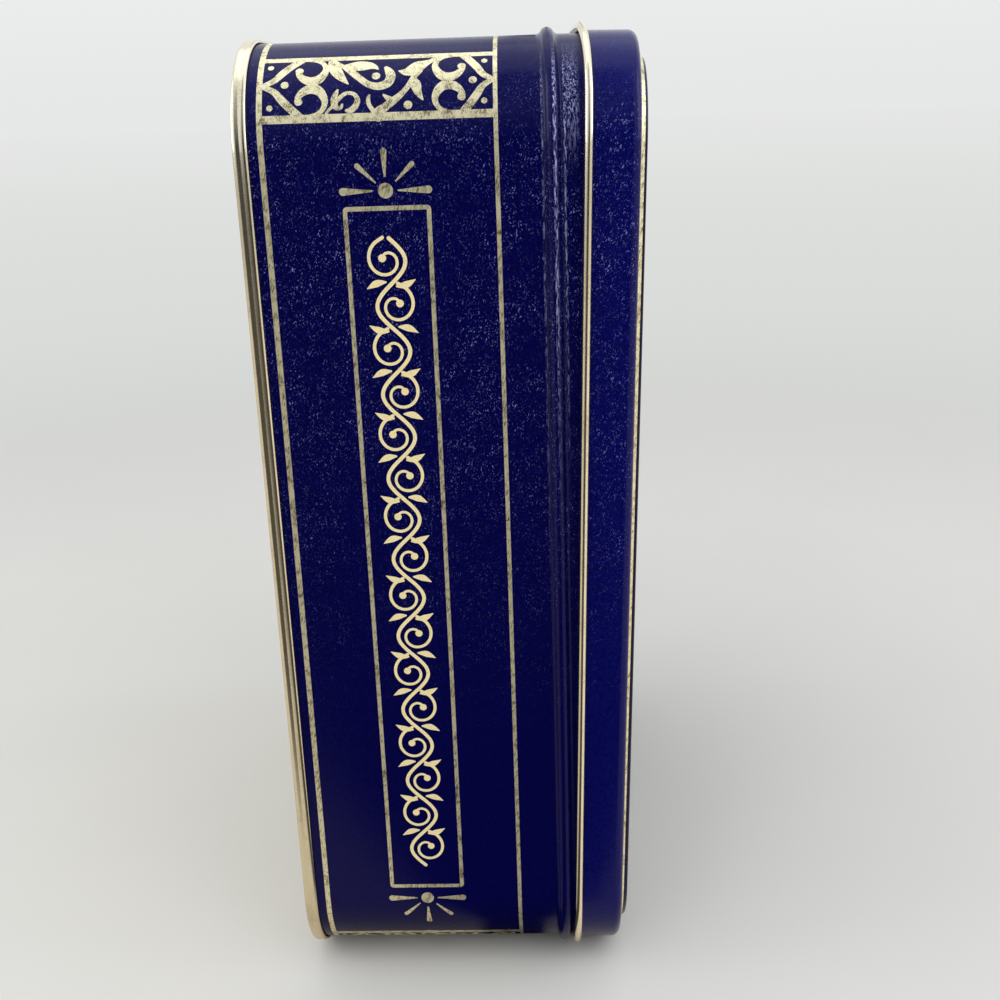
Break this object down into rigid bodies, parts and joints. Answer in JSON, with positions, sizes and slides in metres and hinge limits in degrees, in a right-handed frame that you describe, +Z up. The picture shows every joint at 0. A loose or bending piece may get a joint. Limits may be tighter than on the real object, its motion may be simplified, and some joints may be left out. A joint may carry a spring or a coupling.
{
  "type": "sewing tin",
  "caption": "Rectangular tinplate box with rounded corners, double-seamed base, rolled stop bead and a loose slip lid with a curled edge.",
  "frame": {"origin": "on the surface that the tin stands on with its lower short end, under the middle of its outline", "axes": "+Z up along the tin's length, +X from the base to the lid, -Y towards the long side that the picture shows"},
  "size_m": [0.0874, 0.1694, 0.2334],
  "materials": {
    "printed_tinplate": "glossy dark blue printed enamel with fine gold print",
    "lacquered_tinplate": "dull gold lacquer over tinplate"
  },
  "bodies": {
    "tin": {"body_wall": "printed_tinplate", "base_panel": "lacquered_tinplate"},
    "lid": {"lid": "printed_tinplate"}
  },
  "joints": [
    {"name": "lid_lifts_off", "type": "slide", "parent": "tin", "child": "lid", "axis": [1, 0, 0], "range_m": [0, 0.04]}
  ]
}
